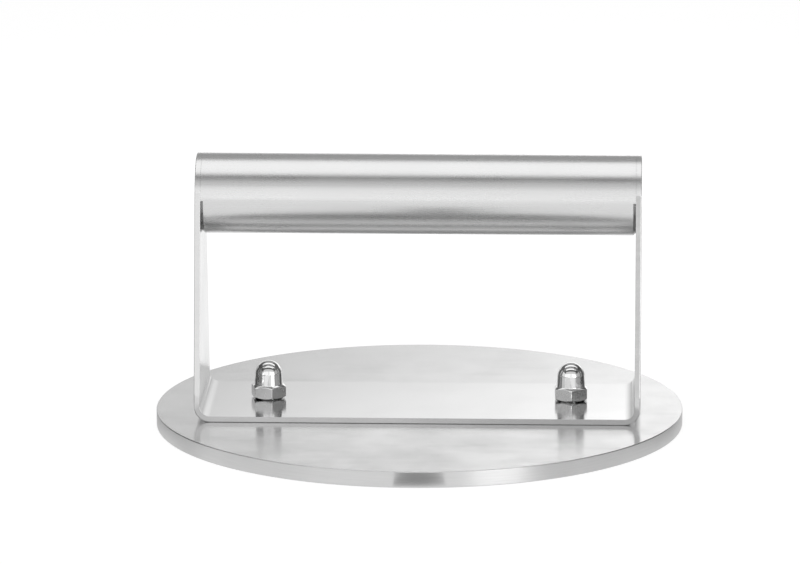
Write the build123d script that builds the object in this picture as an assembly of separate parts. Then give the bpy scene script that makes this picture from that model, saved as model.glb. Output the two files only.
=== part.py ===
"""A round hand press for flattening burgers on a griddle.

A flat stainless plate carries a handle made from one bent strip and a tube. The strip lies on the
plate and is held by two domed nuts on studs that are welded to the plate.
Millimetres. The origin is the middle of the face that presses, +Z is up and X runs along the grip.
"""
from build123d import *
import math
import os

# Press plate: a disc cut from flat plate, its edges just broken
plate_diameter = 165
plate_thickness = 5
plate_edge_break = 0.3

# Handle strip: lies flat between the legs and bends up at both ends
strip_width = 46.5
strip_thickness = 1.8
bend_inner_radius = 3.2
knee_rise = 2.5
knee_radius = 20
strip_edge_round = 0.25

# Grip: a round tube that fills the space between the legs
grip_diameter = 25
grip_wall = 1.2
grip_length = 135
grip_axis_height = 73

# Tube ends are bevelled all round, all but a root face, and welded in the bevel's upper half only
weld_root_face = 0.4

# Studs: M6 pins welded upright to the plate, each with a low weld collar, just behind the strip's middle
stud_inset = 20
stud_setback = 2.5
stud_diameter = 6
stud_tip_chamfer = 0.6
collar_ledge = 0.4
collar_height = 0.8
collar_clearance = 0.2

# Domed nuts: a hexagon with a closed crown over a blind thread
nut_wall = 2
nut_height = 11.9
nut_hex_height = 4.5
nut_bearing_inset = 0.7
nut_form_clearance = 0.2
nut_dome_step = 0.55
nut_dome_ledge = 0.05
nut_dome_draft = 0.15
nut_crown_rise = 4.25
nut_crown_wall = 3.5
thread_clearance = 0.05
stud_tip_clearance = 2
nut_mouth_chamfer = 0.4
nut_chamfer_angle = 30
drill_point_angle = 118

# How far each nut happens to be turned where it came tight, in degrees
nut_turns = {"left": -16, "right": -28}

plate_radius = plate_diameter / 2
grip_radius = grip_diameter / 2
half_strip = strip_width / 2
leg_inner_x = grip_length / 2
leg_outer_x = leg_inner_x + strip_thickness
leg_top = grip_axis_height + grip_radius
strip_top = plate_thickness + strip_thickness
bend_outer_radius = bend_inner_radius + strip_thickness
knee_height = plate_thickness + bend_outer_radius + knee_rise
weld_size = grip_wall - weld_root_face
stud_x = leg_inner_x - stud_inset
stud_radius = stud_diameter / 2
collar_radius = stud_radius + collar_ledge
hole_radius = collar_radius + collar_clearance
nut_across_flats = stud_diameter + 2 * nut_wall
nut_bore_radius = stud_radius + thread_clearance
nut_bore_depth = nut_height - nut_crown_wall
stud_length = strip_thickness + nut_bore_depth - stud_tip_clearance
sides = {"left": -1, "right": 1}
standing = (Align.CENTER, Align.CENTER, Align.MIN)


def press_plate():
    disc = Cylinder(plate_radius, plate_thickness, align=standing)
    return chamfer(disc.edges().filter_by(GeomType.CIRCLE), plate_edge_break)


def channel(half_width, floor, corner_radius):
    """A U-shaped outline seen from the front, open at the top, with its lower corners rounded."""
    block = Plane.XZ * Pos(0, (floor + leg_top) / 2) * Rectangle(2 * half_width, leg_top - floor)
    return fillet(block.vertices().group_by(Axis.Z)[0], corner_radius)


def tangent_point(side):
    """Where the slanting edge of a leg runs into the round of the grip, as (Y, Z)."""
    drop = grip_axis_height - knee_height
    reach = math.hypot(half_strip, drop)
    angle = math.acos(grip_radius / reach) - math.atan2(drop, half_strip)
    return (side * grip_radius * math.cos(angle), grip_axis_height + grip_radius * math.sin(angle))


def leg_outline():
    """The strip seen along the grip: full width at the foot, narrowing to the round of the grip."""
    foot = Polyline(
        tangent_point(-1),
        (-half_strip, knee_height),
        (-half_strip, plate_thickness),
        (half_strip, plate_thickness),
        (half_strip, knee_height),
        tangent_point(1),
    )
    crown = ThreePointArc(tangent_point(1), (0, leg_top), tangent_point(-1))
    outline = Plane.YZ * make_face(foot.edges() + crown.edges())
    knees = [corner for corner in outline.vertices() if abs(corner.Z - knee_height) < knee_rise / 2]
    return fillet(knees, knee_radius)


def handle_bracket():
    """One strip: bent to a U, trimmed to the leg outline, its outer edges rounded and its base drilled."""
    inside = channel(leg_inner_x, strip_top, bend_inner_radius)
    outside = channel(leg_outer_x, plate_thickness, bend_outer_radius)
    bent = extrude(outside - inside, half_strip, both=True)
    strip = bent & extrude(leg_outline(), leg_outer_x, both=True)
    skin = [face for face in strip.faces() if faces_outwards(face)]
    rims = ShapeList(edge for face in skin for edge in face.edges()).filter_by(Axis.Y, reverse=True)
    strip = fillet(rims, strip_edge_round)
    for side in sides.values():
        hole = Cylinder(hole_radius, strip_thickness, align=standing)
        strip -= Pos(side * stud_x, stud_setback, plate_thickness) * hole
    return strip


def faces_outwards(face):
    """True for the strip's underside, its outer bends and the outer faces of its legs."""
    middle = face.center(CenterOf.GEOMETRY)
    normal = face.normal_at(middle)
    crosswise = abs(normal.Y) < 0.5
    away = normal.Z < -0.5 or normal.X * middle.X > 0.5 * abs(middle.X)
    return crosswise and away


def grip_weld(side):
    """A half ring of weld that fills the bevel between the tube's end and the leg, ground flush."""
    notch = Polyline(
        (side * leg_inner_x, grip_radius),
        (side * (leg_inner_x - weld_size), grip_radius),
        (side * leg_inner_x, grip_radius - weld_size),
        close=True,
    )
    half_ring = revolve(make_face(notch.edges()), Axis.X, 180)
    return Pos(0, 0, grip_axis_height) * half_ring


def grip_tube():
    bar = Cylinder(grip_radius, grip_length)
    bar = chamfer(bar.edges().filter_by(GeomType.CIRCLE), weld_size)
    tube = bar - Cylinder(grip_radius - grip_wall, grip_length)
    return Pos(0, 0, grip_axis_height) * Rot(0, 90, 0) * tube


def stud(side):
    shank = Cylinder(stud_radius, stud_length, align=standing)
    shank = chamfer(shank.edges().group_by(Axis.Z)[-1], stud_tip_chamfer)
    collar = Cylinder(collar_radius, collar_height, align=standing)
    return Pos(side * stud_x, stud_setback, plate_thickness) * (shank + collar)


def nut_form():
    """The turned form of a nut: it bevels the hexagon's corners, which it stands clear of, and has the dome."""
    bearing_radius = nut_across_flats / 2 - nut_bearing_inset
    form_radius = nut_across_flats / math.sqrt(3) + nut_form_clearance
    dome_radius = nut_across_flats / 2 - nut_dome_step
    ledge_radius = dome_radius + nut_dome_ledge
    bevel_slope = math.tan(math.radians(nut_chamfer_angle))
    shoulder_radius = dome_radius - nut_dome_draft
    shoulder_height = nut_height - nut_crown_rise
    side_line = Polyline(
        (0, nut_height),
        (0, 0),
        (bearing_radius, 0),
        (form_radius, (form_radius - bearing_radius) * bevel_slope),
        (form_radius, nut_hex_height - (form_radius - ledge_radius) * bevel_slope),
        (ledge_radius, nut_hex_height),
        (dome_radius, nut_hex_height),
        (shoulder_radius, shoulder_height),
    )
    crown_radius = (shoulder_radius**2 + nut_crown_rise**2) / (2 * nut_crown_rise)
    crown = RadiusArc((0, nut_height), (shoulder_radius, shoulder_height), crown_radius)
    return revolve(Plane.XZ * make_face(side_line.edges() + crown.edges()), Axis.Z)


def nut_bore():
    """The blind hole: a countersunk mouth, the threaded length and the drill's point."""
    mouth_radius = nut_bore_radius + nut_mouth_chamfer
    point_depth = nut_bore_radius / math.tan(math.radians(drill_point_angle / 2))
    mouth = Cone(mouth_radius, nut_bore_radius, nut_mouth_chamfer, align=standing)
    thread = Cylinder(nut_bore_radius, nut_bore_depth, align=standing)
    point = Pos(0, 0, nut_bore_depth) * Cone(nut_bore_radius, 0, point_depth, align=standing)
    return mouth + thread + point


def cap_nut(side, turn):
    hexagon = RegularPolygon(nut_across_flats / 2, 6, major_radius=False)
    blank = extrude(hexagon, nut_height) & nut_form()
    return Pos(side * stud_x, stud_setback, strip_top) * Rot(0, 0, turn) * (blank - nut_bore())


pieces = {
    "press_plate": press_plate(),
    "handle_bracket": handle_bracket(),
    "grip_tube": grip_tube(),
}
for name, side in sides.items():
    pieces[f"grip_weld_{name}"] = grip_weld(side)
    pieces[f"stud_{name}"] = stud(side)
    pieces[f"cap_nut_{name}"] = cap_nut(side, nut_turns[name])

os.makedirs("parts", exist_ok=True)
for node, solid in pieces.items():
    export_step(solid, f"parts/{node}.step")
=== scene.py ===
import math

import bmesh
import bpy
from mathutils import Matrix, Vector


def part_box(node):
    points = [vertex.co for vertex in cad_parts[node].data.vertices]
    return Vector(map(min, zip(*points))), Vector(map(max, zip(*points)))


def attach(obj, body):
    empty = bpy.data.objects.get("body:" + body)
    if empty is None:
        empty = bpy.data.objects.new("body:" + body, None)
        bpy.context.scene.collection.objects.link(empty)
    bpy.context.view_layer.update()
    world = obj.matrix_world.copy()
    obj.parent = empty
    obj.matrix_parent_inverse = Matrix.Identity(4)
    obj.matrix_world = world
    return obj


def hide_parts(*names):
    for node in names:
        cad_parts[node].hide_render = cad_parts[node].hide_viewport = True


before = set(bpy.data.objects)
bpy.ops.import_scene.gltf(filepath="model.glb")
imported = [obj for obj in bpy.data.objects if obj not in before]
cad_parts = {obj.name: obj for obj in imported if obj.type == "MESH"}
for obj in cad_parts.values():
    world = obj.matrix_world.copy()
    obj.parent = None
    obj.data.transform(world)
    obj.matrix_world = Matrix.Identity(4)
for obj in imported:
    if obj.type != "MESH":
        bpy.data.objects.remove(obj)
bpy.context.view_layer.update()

# Press plate
# A disc cut from 5 mm stainless plate. Both faces are brushed straight, along the grip, and the rim is
# linished round. The edges are just broken. Everything else stands on it, and its lower face presses.
plate_low, plate_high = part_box("press_plate")
plate_radius = min(plate_high.x, plate_high.y, -plate_low.x, -plate_low.y)
plate_thickness = plate_high.z
plate_edge_break = 0.0003
plate_facets = 256
plate_edge_steps = 3
broad_normal = 0.98
merge_distance = 0.000001


def brushed_steel(name, tones, roughness, grain, spread, anisotropy, scratch_depth):
    """Stainless steel with fine parallel scratches. grain is how often they repeat along each axis, per
    metre, and spread is the direction across them, in which they smear what the steel reflects."""
    steel = bpy.data.materials.new(name)
    steel.use_nodes = True
    nodes = steel.node_tree.nodes
    links = steel.node_tree.links
    shader = nodes["Principled BSDF"]
    shader.inputs["Metallic"].default_value = 1.0
    shader.inputs["Anisotropic"].default_value = anisotropy
    place = nodes.new("ShaderNodeTexCoord")
    stretch = nodes.new("ShaderNodeMapping")
    stretch.inputs["Scale"].default_value = grain
    links.new(place.outputs["Object"], stretch.inputs["Vector"])
    scratches = nodes.new("ShaderNodeTexNoise")
    scratches.inputs["Scale"].default_value = 1.0
    scratches.inputs["Detail"].default_value = 3.0
    scratches.inputs["Roughness"].default_value = 0.65
    links.new(stretch.outputs["Vector"], scratches.inputs["Vector"])
    handling = nodes.new("ShaderNodeTexNoise")
    handling.inputs["Scale"].default_value = 55.0
    handling.inputs["Detail"].default_value = 4.0
    links.new(place.outputs["Object"], handling.inputs["Vector"])
    tone = nodes.new("ShaderNodeMix")
    tone.data_type = "RGBA"
    tone.inputs["A"].default_value = (*tones[0], 1.0)
    tone.inputs["B"].default_value = (*tones[1], 1.0)
    links.new(scratches.outputs["Fac"], tone.inputs["Factor"])
    links.new(tone.outputs["Result"], shader.inputs["Base Color"])
    uneven = nodes.new("ShaderNodeMath")
    uneven.operation = "MULTIPLY"
    links.new(scratches.outputs["Fac"], uneven.inputs[0])
    links.new(handling.outputs["Fac"], uneven.inputs[1])
    gloss = nodes.new("ShaderNodeMapRange")
    gloss.inputs["From Min"].default_value = 0.1
    gloss.inputs["From Max"].default_value = 0.4
    gloss.inputs["To Min"].default_value = roughness[0]
    gloss.inputs["To Max"].default_value = roughness[1]
    links.new(uneven.outputs["Value"], gloss.inputs["Value"])
    links.new(gloss.outputs["Result"], shader.inputs["Roughness"])
    relief = nodes.new("ShaderNodeBump")
    relief.inputs["Strength"].default_value = 0.5
    relief.inputs["Distance"].default_value = scratch_depth
    links.new(scratches.outputs["Fac"], relief.inputs["Height"])
    links.new(relief.outputs["Normal"], shader.inputs["Normal"])
    across = nodes.new("ShaderNodeCombineXYZ")
    for axis, share in zip("XYZ", spread):
        across.inputs[axis].default_value = share
    links.new(across.outputs["Vector"], shader.inputs["Tangent"])
    return steel


def round_edges(form, edges, offset, steps):
    """Rounds the given edges to an even arc."""
    bmesh.ops.bevel(
        form,
        geom=list(edges),
        offset=offset,
        affect="EDGES",
        segments=steps,
        profile=0.5,
        material=-1,
    )


def finished(name, form, materials, crease_angle):
    """Closes and smooths a piece's mesh, so that flat faces stay flat and rounded edges run into them."""
    bmesh.ops.remove_doubles(form, verts=form.verts, dist=merge_distance)
    bmesh.ops.recalc_face_normals(form, faces=form.faces)
    mesh = bpy.data.meshes.new(name)
    form.to_mesh(mesh)
    form.free()
    for material in materials:
        mesh.materials.append(material)
    mesh.shade_smooth()
    mesh.set_sharp_from_angle(angle=math.radians(crease_angle))
    piece = bpy.data.objects.new(name, mesh)
    bpy.context.scene.collection.objects.link(piece)
    even = piece.modifiers.new("even_shading", "WEIGHTED_NORMAL")
    even.keep_sharp = True
    even.weight = 100
    return piece


plate_form = bmesh.new()
bmesh.ops.create_cone(
    plate_form,
    cap_ends=True,
    segments=plate_facets,
    radius1=plate_radius,
    radius2=plate_radius,
    depth=plate_thickness,
    matrix=Matrix.Translation((0, 0, plate_thickness / 2)),
)
plate_faces = [face for face in plate_form.faces if abs(face.normal.z) > broad_normal]
plate_corners = [edge for face in plate_faces for edge in face.edges]
round_edges(plate_form, plate_corners, plate_edge_break, plate_edge_steps)
plate_form.normal_update()
for face in plate_form.faces:
    face.material_index = 0 if abs(face.normal.z) > broad_normal else 1
brushed_face = brushed_steel(
    "brushed_plate_face",
    tones=((0.58, 0.58, 0.58), (0.66, 0.66, 0.66)),
    roughness=(0.15, 0.24),
    grain=(9, 2300, 9),
    spread=(0, 1, 0),
    anisotropy=0.8,
    scratch_depth=0.00001,
)
linished_rim = brushed_steel(
    "linished_plate_rim",
    tones=((0.55, 0.55, 0.55), (0.68, 0.68, 0.68)),
    roughness=(0.3, 0.4),
    grain=(60, 60, 2300),
    spread=(0, 0, 1),
    anisotropy=0.9,
    scratch_depth=0.00001,
)
plate = finished("plate", plate_form, [brushed_face, linished_rim], crease_angle=50)
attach(plate, "root")
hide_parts("press_plate")

# Handle strip
# One blank of 1.8 mm polished stainless strip, its ends cut to a taper with a round top. It is drilled
# for the studs, its outer edges are rounded, and both ends are bent up over a 3.2 mm radius. The ends
# are ground with the grip after welding, so their round edges have its satin finish.
strip_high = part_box("handle_bracket")[1]
strip_thickness = 0.0018
strip_half_width = strip_high.y
strip_top = plate_thickness + strip_thickness
bend_inner_radius = 0.0032
bend_start = strip_high.x - strip_thickness - bend_inner_radius
bend_length = math.pi / 2 * (bend_inner_radius + strip_thickness / 2)
bend_facets = 16
grip_axis_height = 0.073
crown_radius = strip_high.z - grip_axis_height
leg_foot = bend_start + bend_length
leg_foot_height = strip_top + bend_inner_radius
knee_rise = 0.0025
knee_rounding = 0.00173
knee_steps = 6
crown_facets = 96
strip_outer_round = 0.00025
outer_round_steps = 4
strip_inner_break = 0.0001
inner_break_steps = 2
stud_x = 0.0475
stud_setback = 0.0025
stud_hole_radius = 0.0036
hole_land = 0.0055
hole_land_cuts = 7
flat_angle = math.radians(0.5)
edge_tolerance = 0.00001
cut_tolerance = 0.0000001


def strip_blank():
    """The flat blank, inner face up: what two round ends and four knees span, rounded along its edges."""
    blank = bmesh.new()
    for end in (-1, 1):
        crown_place = end * (leg_foot + grip_axis_height - leg_foot_height)
        knee_place = end * (leg_foot + knee_rise)
        for level in (0, -strip_thickness):
            bmesh.ops.create_circle(
                blank,
                segments=crown_facets,
                radius=crown_radius,
                matrix=Matrix.Translation((crown_place, 0, level)),
            )
            for edge in (-strip_half_width, strip_half_width):
                blank.verts.new((knee_place, edge, level))
    hull = bmesh.ops.convex_hull(blank, input=blank.verts)
    spare = {v for v in hull["geom_interior"] + hull["geom_unused"] if isinstance(v, bmesh.types.BMVert)}
    bmesh.ops.delete(blank, geom=list(spare), context="VERTS")
    bmesh.ops.dissolve_limit(blank, angle_limit=flat_angle, verts=blank.verts, edges=blank.edges)
    knees = [e for e in blank.edges if abs(abs(e.verts[0].co.y) - strip_half_width) < edge_tolerance
             and abs(e.verts[0].co.z - e.verts[1].co.z) > strip_thickness / 2]
    round_edges(blank, knees, knee_rounding, knee_steps)
    outer_edges = (-1, strip_outer_round, outer_round_steps)
    inner_edges = (1, strip_inner_break, inner_break_steps)
    for facing, rounding, steps in (outer_edges, inner_edges):
        blank.normal_update()
        broad = [f for f in blank.faces if f.normal.z * facing > broad_normal]
        round_edges(blank, {e for f in broad for e in f.edges}, rounding, steps)
    return blank


def cut_across(form, direction, place):
    """Divides the faces along one straight line, so that the strip can bend or be drilled there."""
    bmesh.ops.bisect_plane(
        form,
        geom=form.verts[:] + form.edges[:] + form.faces[:],
        dist=cut_tolerance,
        plane_co=direction * place,
        plane_no=direction,
    )


def drill(form, place):
    """A round hole through the blank: a square is cut round it in both faces, opened up and rounded."""
    for offset in (-hole_land, hole_land):
        cut_across(form, Vector((1, 0, 0)), place + offset)
        cut_across(form, Vector((0, 1, 0)), stud_setback + offset)
    middle = Vector((place, stud_setback, 0))

    def lands():
        form.normal_update()
        return [f for f in form.faces if abs(f.normal.z) > broad_normal
                and (f.calc_center_median() - middle).xy.length < hole_land / 10]

    for land in lands():
        bmesh.ops.subdivide_edges(form, edges=land.edges[:], cuts=hole_land_cuts)
    rings = []
    drilled = lands()
    for land in drilled:
        bmesh.ops.inset_individual(form, faces=[land], thickness=hole_land / 8)
        for vertex in land.verts:
            away = (vertex.co - middle).xy.normalized() * stud_hole_radius
            vertex.co.x, vertex.co.y = place + away.x, stud_setback + away.y
        rings += land.edges[:]
    bmesh.ops.delete(form, geom=drilled, context="FACES_ONLY")
    bmesh.ops.bridge_loops(form, edges=rings)


def bend_up(form):
    """Bends both ends of the blank up through a right angle, and sets it down on the plate."""
    for vertex in form.verts:
        end = math.copysign(1, vertex.co.x)
        along, depth = abs(vertex.co.x), vertex.co.z
        if along < bend_start:
            vertex.co.z = strip_top + depth
            continue
        turn = min((along - bend_start) / bend_length, 1) * math.pi / 2
        radius = bend_inner_radius - depth
        rise = max(along - leg_foot, 0)
        vertex.co.x = end * (bend_start + radius * math.sin(turn))
        vertex.co.z = leg_foot_height - radius * math.cos(turn) + rise


strip_form = strip_blank()
for end in (-1, 1):
    for step in range(bend_facets + 1):
        cut_across(strip_form, Vector((1, 0, 0)), end * (bend_start + bend_length * step / bend_facets))
    drill(strip_form, end * stud_x)
bend_up(strip_form)
polished_strip = brushed_steel(
    "polished_strip",
    tones=((0.56, 0.56, 0.56), (0.62, 0.62, 0.62)),
    roughness=(0.1, 0.18),
    grain=(6, 1900, 6),
    spread=(0, 1, 0.4),
    anisotropy=0.5,
    scratch_depth=0.000003,
)
satin_tube = brushed_steel(
    "satin_tube",
    tones=((0.63, 0.63, 0.63), (0.69, 0.69, 0.69)),
    roughness=(0.25, 0.31),
    grain=(5, 1900, 1900),
    spread=(1, 0, 0),
    anisotropy=0.0,
    scratch_depth=0.0000015,
)
strip_form.normal_update()
for face in strip_form.faces:
    middle = face.calc_center_median()
    height = middle.z - grip_axis_height
    on_the_rim = math.hypot(middle.y, height) > crown_radius - strip_outer_round
    if on_the_rim and height > -strip_thickness:
        face.material_index = 1
strip = finished("handle_strip", strip_form, [polished_strip, satin_tube], crease_angle=50)
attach(strip, "root")
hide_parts("handle_bracket")

# Grip
# A 25 mm stainless tube with a 1.2 mm wall, ground lengthwise to a satin finish. Its ends are bevelled
# for welding and butt against the inside of the legs.
grip_half_length = strip_high.x - strip_thickness
grip_radius = crown_radius
grip_wall = 0.0012
weld_size = 0.0008
grip_facets = 160

tube_form = bmesh.new()
tube_section = [
    (-grip_half_length, grip_radius - grip_wall),
    (-grip_half_length, grip_radius - weld_size),
    (-grip_half_length + weld_size, grip_radius),
    (grip_half_length - weld_size, grip_radius),
    (grip_half_length, grip_radius - weld_size),
    (grip_half_length, grip_radius - grip_wall),
]
section_points = [tube_form.verts.new((x, 0, grip_axis_height + r)) for x, r in tube_section]
for point, following in zip(section_points, section_points[1:] + section_points[:1]):
    tube_form.edges.new((point, following))
bmesh.ops.spin(
    tube_form,
    geom=tube_form.verts[:] + tube_form.edges[:],
    cent=(0, 0, grip_axis_height),
    axis=(1, 0, 0),
    angle=2 * math.pi,
    steps=grip_facets,
    use_merge=True,
)
tube = finished("grip", tube_form, [satin_tube], crease_angle=30)
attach(tube, "root")
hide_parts("grip_tube")

# Welds
# Weld metal fills the upper half of the bevel at each end of the grip, and is ground flush with the
# tube and the leg. The lower half of each joint is left as a bare seam.
for side, end in (("left", -1), ("right", 1)):
    weld_form = bmesh.new()
    weld_section = [
        (end * grip_half_length, grip_radius),
        (end * (grip_half_length - weld_size), grip_radius),
        (end * grip_half_length, grip_radius - weld_size),
    ]
    corners = [weld_form.verts.new((x, -r, grip_axis_height)) for x, r in weld_section]
    first_face = weld_form.faces.new(corners)
    bmesh.ops.spin(
        weld_form,
        geom=[first_face],
        cent=(0, 0, grip_axis_height),
        axis=(-1, 0, 0),
        angle=math.pi,
        steps=grip_facets // 2,
    )
    weld = finished("weld_" + side, weld_form, [satin_tube], crease_angle=30)
    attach(weld, "root")
    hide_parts("grip_weld_" + side)

# Studs
# Threaded M6 pins welded upright to the plate, each with a low collar of weld round its foot. The
# domed nuts hide them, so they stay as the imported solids.
stud_steel = brushed_steel(
    "stud_steel",
    tones=((0.46, 0.45, 0.44), (0.6, 0.59, 0.58)),
    roughness=(0.3, 0.45),
    grain=(200, 200, 1000),
    spread=(0, 0, 1),
    anisotropy=0.3,
    scratch_depth=0.00002,
)
for side in ("left", "right"):
    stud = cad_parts["stud_" + side]
    for pocket in stud.material_slots:
        pocket.material = stud_steel

# Domed nuts
# M6 hexagon nuts with a closed dome, turned from bar with a bright dome and satin flats. Each is
# screwed down on its stud and stopped where it came tight, so the two stand at different angles.
nut_flat = 0.005
nut_height = 0.0119
nut_hex_height = 0.0045
nut_bearing_radius = 0.0043
nut_form_radius = 0.00597
nut_dome_radius = 0.00445
nut_crown_radius = 0.0043
nut_dome_draft_angle = 2.8
nut_bore_radius = 0.00305
nut_bore_depth = 0.0084
nut_mouth = 0.0004
nut_root_round = 0.0002
nut_ledge = 0.00006
nut_chamfer_angle = 30
drill_point_angle = 118
nut_edge_round = 0.00016
nut_edge_steps = 2
nut_sides = 6
nut_turns = {"left": -16, "right": -28}
nut_facets = 96
nut_crown_steps = 18
upright_normal = 0.01

bright_nut = bpy.data.materials.new("bright_nut")
bright_nut.use_nodes = True
nodes = bright_nut.node_tree.nodes
links = bright_nut.node_tree.links
shader = nodes["Principled BSDF"]
shader.inputs["Metallic"].default_value = 1.0
place = nodes.new("ShaderNodeTexCoord")
wave = nodes.new("ShaderNodeTexNoise")
wave.inputs["Scale"].default_value = 350.0
wave.inputs["Detail"].default_value = 2.0
links.new(place.outputs["Object"], wave.inputs["Vector"])
tone = nodes.new("ShaderNodeMix")
tone.data_type = "RGBA"
tone.inputs["A"].default_value = (0.7, 0.7, 0.7, 1.0)
tone.inputs["B"].default_value = (0.8, 0.8, 0.8, 1.0)
links.new(wave.outputs["Fac"], tone.inputs["Factor"])
links.new(tone.outputs["Result"], shader.inputs["Base Color"])
gloss = nodes.new("ShaderNodeMapRange")
gloss.inputs["To Min"].default_value = 0.02
gloss.inputs["To Max"].default_value = 0.09
links.new(wave.outputs["Fac"], gloss.inputs["Value"])
links.new(gloss.outputs["Result"], shader.inputs["Roughness"])
relief = nodes.new("ShaderNodeBump")
relief.inputs["Strength"].default_value = 0.15
relief.inputs["Distance"].default_value = 0.00002
links.new(wave.outputs["Fac"], relief.inputs["Height"])
links.new(relief.outputs["Normal"], shader.inputs["Normal"])
milled_flats = brushed_steel(
    "milled_flats",
    tones=((0.55, 0.55, 0.55), (0.66, 0.66, 0.66)),
    roughness=(0.22, 0.34),
    grain=(900, 900, 900),
    spread=(0, 0, 1),
    anisotropy=0.0,
    scratch_depth=0.000004,
)


def nut_section():
    """Half of the nut's turned section, from the top of the dome down its side and up the bore."""
    bevel_slope = math.tan(math.radians(nut_chamfer_angle))
    ledge_radius = nut_dome_radius + nut_ledge
    point_depth = nut_bore_radius / math.tan(math.radians(drill_point_angle / 2))
    for step in range(nut_crown_steps + 1):
        angle = math.radians(90 - nut_dome_draft_angle) * step / nut_crown_steps
        yield (nut_crown_radius * math.sin(angle), nut_height - nut_crown_radius * (1 - math.cos(angle)))
    yield (nut_dome_radius, nut_hex_height + nut_root_round)
    yield (ledge_radius, nut_hex_height)
    yield (nut_form_radius, nut_hex_height - (nut_form_radius - ledge_radius) * bevel_slope)
    yield (nut_form_radius, (nut_form_radius - nut_bearing_radius) * bevel_slope)
    yield (nut_bearing_radius, 0)
    yield (nut_bore_radius + nut_mouth, 0)
    yield (nut_bore_radius, nut_mouth)
    yield (nut_bore_radius, nut_bore_depth)
    yield (0, nut_bore_depth + point_depth)


def milled_flats_of(form):
    """The six flats of the hexagon, which are the nut's only large upright faces."""
    form.normal_update()
    return [f for f in form.faces if f.calc_area() > nut_flat * nut_flat / 2
            and abs(f.normal.z) < upright_normal]


for side, end in (("left", -1), ("right", 1)):
    nut_form = bmesh.new()
    points = [nut_form.verts.new((r, 0, z)) for r, z in nut_section()]
    for point, following in zip(points, points[1:]):
        nut_form.edges.new((point, following))
    bmesh.ops.spin(
        nut_form,
        geom=nut_form.verts[:] + nut_form.edges[:],
        cent=(0, 0, 0),
        axis=(0, 0, 1),
        angle=2 * math.pi,
        steps=nut_facets,
        use_merge=True,
    )
    bmesh.ops.remove_doubles(nut_form, verts=nut_form.verts, dist=merge_distance)
    for flat in range(nut_sides):
        outwards = Matrix.Rotation(2 * math.pi * (flat + 0.5) / nut_sides, 3, "Z") @ Vector((1, 0, 0))
        milled = bmesh.ops.bisect_plane(
            nut_form,
            geom=nut_form.verts[:] + nut_form.edges[:] + nut_form.faces[:],
            dist=cut_tolerance,
            plane_co=outwards * nut_flat,
            plane_no=outwards,
            clear_outer=True,
        )
        rim = [e for e in milled["geom_cut"] if isinstance(e, bmesh.types.BMEdge)]
        bmesh.ops.edgenet_fill(nut_form, edges=rim)
    flat_edges = {e for f in milled_flats_of(nut_form) for e in f.edges}
    round_edges(nut_form, flat_edges, nut_edge_round, nut_edge_steps)
    for face in nut_form.faces:
        face.material_index = 0
    for flat in milled_flats_of(nut_form):
        flat.material_index = 1
    turn = Matrix.Rotation(math.radians(nut_turns[side]), 4, "Z")
    seat = Matrix.Translation((end * stud_x, stud_setback, strip_top))
    bmesh.ops.transform(nut_form, matrix=seat @ turn, verts=nut_form.verts)
    nut = finished("domed_nut_" + side, nut_form, [bright_nut, milled_flats], crease_angle=22)
    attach(nut, "root")
    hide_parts("cap_nut_" + side)

# Floor
# A plain white table top with the press's own soft shadow. It glows white to the camera, and to the
# metal only in a band under and behind the press that widens in front of it. From below it is clear.


def board(name, width, depth, seat, material):
    """A flat rectangle of the studio, made lying down round its middle and then moved by seat."""
    form = bmesh.new()
    size = Matrix.Diagonal((width / 2, depth / 2, 1.0, 1.0))
    bmesh.ops.create_grid(form, x_segments=1, y_segments=1, size=1, matrix=seat @ size)
    mesh = bpy.data.meshes.new(name)
    form.to_mesh(mesh)
    form.free()
    mesh.materials.append(material)
    sheet = bpy.data.objects.new(name, mesh)
    bpy.context.scene.collection.objects.link(sheet)
    return sheet


white_top = bpy.data.materials.new("white_table")
white_top.use_nodes = True
nodes = white_top.node_tree.nodes
links = white_top.node_tree.links
nodes.clear()
paint = nodes.new("ShaderNodeBsdfDiffuse")
paint.inputs["Color"].default_value = (0.3, 0.3, 0.3, 1.0)
glow = nodes.new("ShaderNodeEmission")
rays = nodes.new("ShaderNodeLightPath")
seen = nodes.new("ShaderNodeMath")
seen.operation = "ADD"
links.new(rays.outputs["Is Camera Ray"], seen.inputs[0])
place = nodes.new("ShaderNodeTexCoord")
parts = nodes.new("ShaderNodeSeparateXYZ")
links.new(place.outputs["Object"], parts.inputs["Vector"])
aside = nodes.new("ShaderNodeMath")
aside.operation = "ABSOLUTE"
links.new(parts.outputs["X"], aside.inputs[0])
in_front = nodes.new("ShaderNodeMath")
in_front.operation = "MINIMUM"
in_front.inputs[1].default_value = 0.0
links.new(parts.outputs["Y"], in_front.inputs[0])
outside = nodes.new("ShaderNodeMath")
outside.operation = "MULTIPLY_ADD"
outside.inputs[1].default_value = 0.3
links.new(in_front.outputs["Value"], outside.inputs[0])
links.new(aside.outputs["Value"], outside.inputs[2])
pool = nodes.new("ShaderNodeMapRange")
pool.inputs["From Min"].default_value = 0.07
pool.inputs["From Max"].default_value = 0.12
pool.inputs["To Min"].default_value = 1.0
pool.inputs["To Max"].default_value = 0.0
links.new(outside.outputs["Value"], pool.inputs["Value"])
mirrored = nodes.new("ShaderNodeMath")
mirrored.operation = "MULTIPLY"
links.new(rays.outputs["Is Glossy Ray"], mirrored.inputs[0])
links.new(pool.outputs["Result"], mirrored.inputs[1])
links.new(mirrored.outputs["Value"], seen.inputs[1])
level = nodes.new("ShaderNodeMath")
level.operation = "MULTIPLY"
level.inputs[1].default_value = 0.82
links.new(seen.outputs["Value"], level.inputs[0])
links.new(level.outputs["Value"], glow.inputs["Strength"])
both = nodes.new("ShaderNodeAddShader")
links.new(paint.outputs["BSDF"], both.inputs[0])
links.new(glow.outputs["Emission"], both.inputs[1])
clear = nodes.new("ShaderNodeBsdfTransparent")
facing = nodes.new("ShaderNodeNewGeometry")
one_sided = nodes.new("ShaderNodeMixShader")
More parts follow.
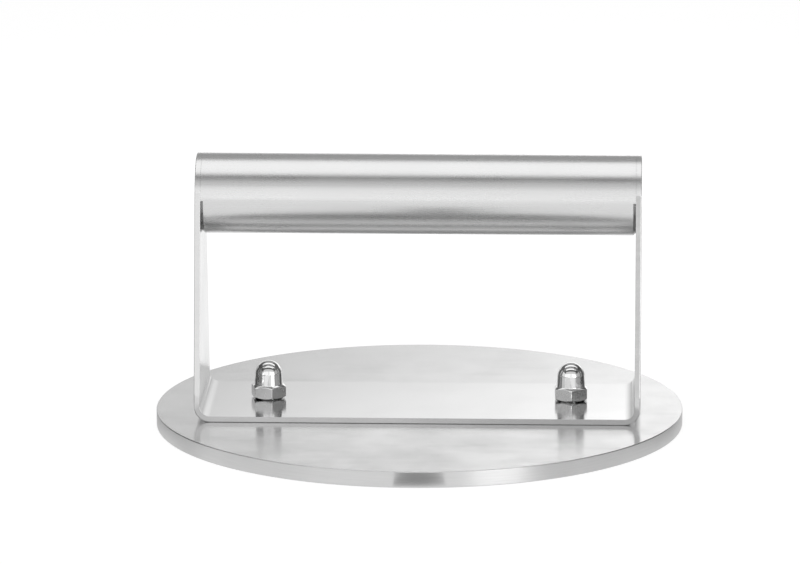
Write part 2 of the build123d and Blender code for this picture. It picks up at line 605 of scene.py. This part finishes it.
links.new(facing.outputs["Backfacing"], one_sided.inputs["Fac"])
links.new(both.outputs["Shader"], one_sided.inputs[1])
links.new(clear.outputs["BSDF"], one_sided.inputs[2])
out = nodes.new("ShaderNodeOutputMaterial")
links.new(one_sided.outputs["Shader"], out.inputs["Surface"])
floor = board(
    "floor",
    width=8,
    depth=8,
    seat=Matrix.Translation((0, 0, -0.00005)),
    material=white_top,
)

# Room
# White to the camera, and a plain grey room to everything else.
room = bpy.data.worlds.new("room")
bpy.context.scene.world = room
room.use_nodes = True
nodes = room.node_tree.nodes
links = room.node_tree.links
backdrop = nodes["Background"]
rays = nodes.new("ShaderNodeLightPath")
wall = nodes.new("ShaderNodeMix")
wall.data_type = "RGBA"
wall.inputs["A"].default_value = (0.15, 0.15, 0.15, 1.0)
wall.inputs["B"].default_value = (1.0, 1.0, 1.0, 1.0)
links.new(rays.outputs["Is Camera Ray"], wall.inputs["Factor"])
links.new(wall.outputs["Result"], backdrop.inputs["Color"])

# Lamps
# Soft boxes round the press: overhead, in a row in front with a dimmer one in the middle and a dim one
# above, a small bright one to the right of the camera, one at each side and a dim one behind.


def soft_box(name, place, aim, width, height, level):
    """A plain rectangular lamp that faces aim. level is how bright its face looks, with white at 1."""
    lamp = bpy.data.lights.new(name, "AREA")
    lamp.shape = "RECTANGLE"
    lamp.size = width
    lamp.size_y = height
    lamp.energy = level * width * height * math.pi
    box = bpy.data.objects.new(name, lamp)
    box.location = place
    box.rotation_euler = (Vector(aim) - Vector(place)).to_track_quat("-Z", "Y").to_euler()
    box.visible_camera = False
    bpy.context.scene.collection.objects.link(box)


soft_box(
    "overhead_box",
    place=(0, 0.07, 1.1),
    aim=(0, 0.07, 0),
    width=1.6,
    height=1.08,
    level=1.2,
)
soft_box(
    "front_left_box",
    place=(-0.78, -1.3, 0.4),
    aim=(-0.78, 0, 0.4),
    width=1.54,
    height=0.8,
    level=1.1,
)
soft_box(
    "front_middle_box",
    place=(0.06, -1.31, 0.4),
    aim=(0.06, 0, 0.4),
    width=0.14,
    height=0.8,
    level=0.75,
)
soft_box(
    "front_right_box",
    place=(0.9, -1.3, 0.4),
    aim=(0.9, 0, 0.4),
    width=1.54,
    height=0.8,
    level=1.2,
)
soft_box(
    "front_upper_box",
    place=(0.06, -1.3, 1.2),
    aim=(0.06, 0, 1.2),
    width=3.2,
    height=0.8,
    level=0.6,
)
soft_box(
    "strip_box",
    place=(0.8, -1.15, 0.15),
    aim=(0, 0, 0.15),
    width=0.55,
    height=0.3,
    level=3.4,
)
soft_box(
    "left_box",
    place=(-1.3, -0.4, 0.4),
    aim=(0, -0.4, 0.4),
    width=1.5,
    height=0.8,
    level=0.75,
)
soft_box(
    "right_box",
    place=(1.3, -0.4, 0.4),
    aim=(0, -0.4, 0.4),
    width=1.5,
    height=0.8,
    level=0.35,
)
soft_box(
    "back_box",
    place=(0, 0.9, 0.7),
    aim=(0, 0, 0.7),
    width=0.9,
    height=1.4,
    level=0.26,
)

# Low card
# A low glowing card that stands behind the press, lighter to the right and upwards. The camera sees
# it only mirrored in the metal, mostly in the plate and in the base of the strip.
card_height = 0.14
white_card = bpy.data.materials.new("white_card")
white_card.use_nodes = True
nodes = white_card.node_tree.nodes
links = white_card.node_tree.links
nodes.clear()
place = nodes.new("ShaderNodeTexCoord")
parts = nodes.new("ShaderNodeSeparateXYZ")
links.new(place.outputs["Object"], parts.inputs["Vector"])
across = nodes.new("ShaderNodeMapRange")
across.inputs["From Min"].default_value = -0.086
across.inputs["From Max"].default_value = 0.064
across.inputs["To Min"].default_value = 0.77
across.inputs["To Max"].default_value = 1.24
links.new(parts.outputs["X"], across.inputs["Value"])
climb = nodes.new("ShaderNodeMapRange")
climb.inputs["From Min"].default_value = 0.0
climb.inputs["From Max"].default_value = card_height
climb.inputs["To Min"].default_value = 0.5
climb.inputs["To Max"].default_value = 1.65
links.new(parts.outputs["Z"], climb.inputs["Value"])
level = nodes.new("ShaderNodeMath")
level.operation = "MULTIPLY"
links.new(across.outputs["Result"], level.inputs[0])
links.new(climb.outputs["Result"], level.inputs[1])
glow = nodes.new("ShaderNodeEmission")
links.new(level.outputs["Value"], glow.inputs["Strength"])
out = nodes.new("ShaderNodeOutputMaterial")
links.new(glow.outputs["Emission"], out.inputs["Surface"])
card = board(
    "low_card",
    width=0.5,
    depth=card_height,
    seat=Matrix.Translation((0, 0.3, card_height / 2)) @ Matrix.Rotation(math.radians(90), 4, "X"),
    material=white_card,
)
card.visible_camera = False
card.visible_shadow = False

# Black flag
# A narrow strip of black cloth on the floor in front of the press, hidden from the camera. It gives
# the middle of the plate's rim its dark patch.
black_cloth = bpy.data.materials.new("black_cloth")
black_cloth.use_nodes = True
shader = black_cloth.node_tree.nodes["Principled BSDF"]
shader.inputs["Base Color"].default_value = (0.05, 0.05, 0.05, 1.0)
shader.inputs["Roughness"].default_value = 1.0
flag = board(
    "black_flag",
    width=0.017,
    depth=0.076,
    seat=Matrix.Translation((0.003, -0.122, 0.0002)),
    material=black_cloth,
)
flag.visible_camera = False
flag.visible_shadow = False
flag.visible_diffuse = False

# Camera
# A long lens two metres off, a little to the right of square on and 13 degrees up.
camera_azimuth = math.radians(2.248)
camera_elevation = math.radians(12.943)
camera_roll = math.radians(-0.1)
camera_distance = 1.9985
camera_aim = Vector((-0.006056, 0, 0.044803))
away = Vector((
    math.sin(camera_azimuth) * math.cos(camera_elevation),
    -math.cos(camera_azimuth) * math.cos(camera_elevation),
    math.sin(camera_elevation),
))
level_right = (-away).cross(Vector((0, 0, 1))).normalized()
level_up = level_right.cross(-away)
right = level_right * math.cos(camera_roll) + level_up * math.sin(camera_roll)
up = level_up * math.cos(camera_roll) - level_right * math.sin(camera_roll)
lens = bpy.data.cameras.new("camera")
lens.lens = 287.7
lens.sensor_width = 36
camera = bpy.data.objects.new("camera", lens)
camera.matrix_world = Matrix.Translation(camera_aim + away * camera_distance) @ Matrix(
    (right, up, away)
).transposed().to_4x4()
bpy.context.scene.collection.objects.link(camera)
bpy.context.scene.camera = camera
bpy.context.scene.view_settings.view_transform = "Standard"
